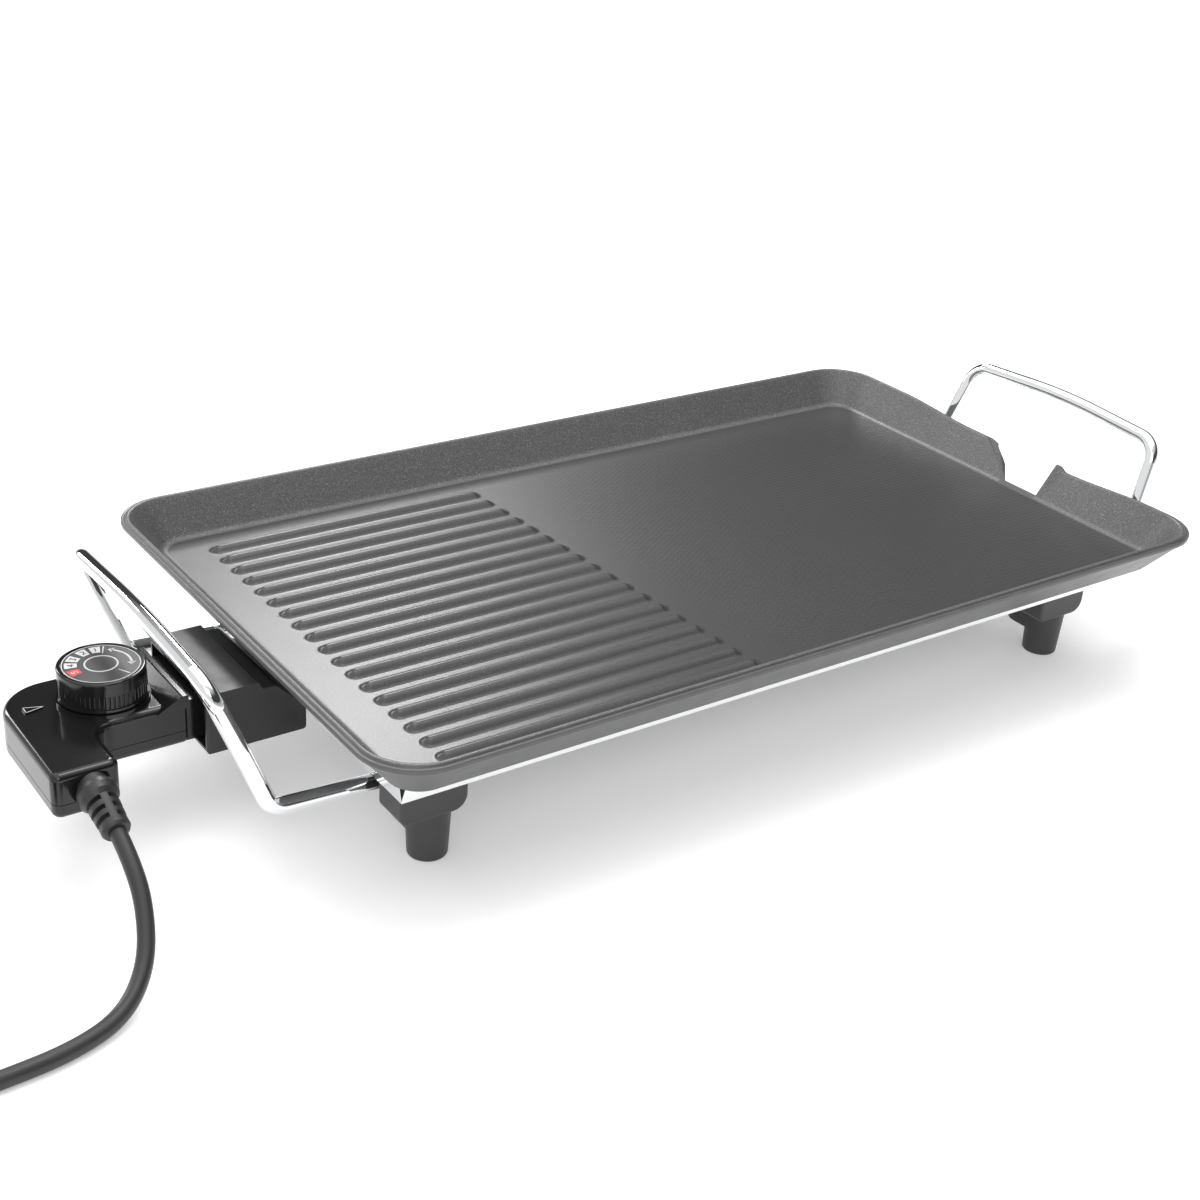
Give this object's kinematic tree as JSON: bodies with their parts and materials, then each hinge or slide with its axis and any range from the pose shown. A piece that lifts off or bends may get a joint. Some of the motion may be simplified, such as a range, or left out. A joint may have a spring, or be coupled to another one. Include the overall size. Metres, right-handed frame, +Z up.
{
  "type": "electric griddle",
  "caption": "Table-top electric griddle: long coated plate with rim and drain notch, chrome frame, wire handles, moulded feet, plug-in controller with dial knob and cord.",
  "frame": {"origin": "on the surface that the feet stand on, under the centre of the object's box, free cord not counted", "axes": "+X along the plate towards the drain notch, +Y away from the controller's cord leg towards the rear, +Z up"},
  "size_m": [0.7823, 0.2839, 0.1005],
  "materials": {
    "coated_plate": "speckled non-stick coating, fine texture",
    "chrome_sheet": "bright chrome",
    "chrome_wire": "bright chrome",
    "foot_plastic": "satin moulded plastic",
    "screw_steel": "zinc plated",
    "element_sheath": "heat-stained sheath",
    "strap_steel": "plain",
    "ceramic": "unglazed ceramic",
    "brass_pin": "plated brass",
    "socket_plastic": "satin moulded plastic",
    "controller_plastic": "polished moulded plastic",
    "dial_face": "printed disc",
    "cord_rubber": "moulded cable rubber"
  },
  "bodies": {
    "griddle": {"griddle_plate": "coated_plate", "base_frame": "chrome_sheet", "left_handle": "chrome_wire", "right_handle": "chrome_wire", "front_left_foot": "foot_plastic", "front_right_foot": "foot_plastic", "rear_left_foot": "foot_plastic", "rear_right_foot": "foot_plastic", "foot_screws": "screw_steel", "plate_screws": "screw_steel", "heating_element": "element_sheath", "element_straps": "strap_steel", "strap_rivets": "strap_steel", "element_seals": "ceramic", "terminal_pins": "brass_pin", "socket_housing": "socket_plastic", "socket_cover": "socket_plastic", "earth_contact": "brass_pin"},
    "controller": {"controller_upper_shell": "controller_plastic", "controller_lower_shell": "controller_plastic", "controller_screws": "screw_steel", "spindle_bush": "brass_pin", "bush_nut": "screw_steel", "switch_stack": "ceramic", "stack_screw": "screw_steel", "upper_contact_leaf": "brass_pin", "lower_contact_leaf": "brass_pin", "bimetal_strip": "strap_steel", "probe_tube": "element_sheath", "pin_sockets": "brass_pin", "socket_carrier": "ceramic", "cord_clamp": "controller_plastic", "strain_relief": "cord_rubber", "power_cord": "cord_rubber", "cord_coil": "cord_rubber", "cord_tail": "cord_rubber", "plug_body": "cord_rubber", "plug_pins": "brass_pin"},
    "knob": {"control_knob": "controller_plastic", "dial_disc": "dial_face", "knob_spindle": "screw_steel"}
  },
  "joints": [
    {"name": "controller_pull", "type": "slide", "parent": "griddle", "child": "controller", "axis": [-1, 0, 0], "range_m": [0, 0.08]},
    {"name": "knob_turn", "type": "hinge", "parent": "controller", "child": "knob", "pos_m": [-0.27008, 0, 0.06], "axis": [0, 0, 1], "range_deg": [0, 235]}
  ]
}
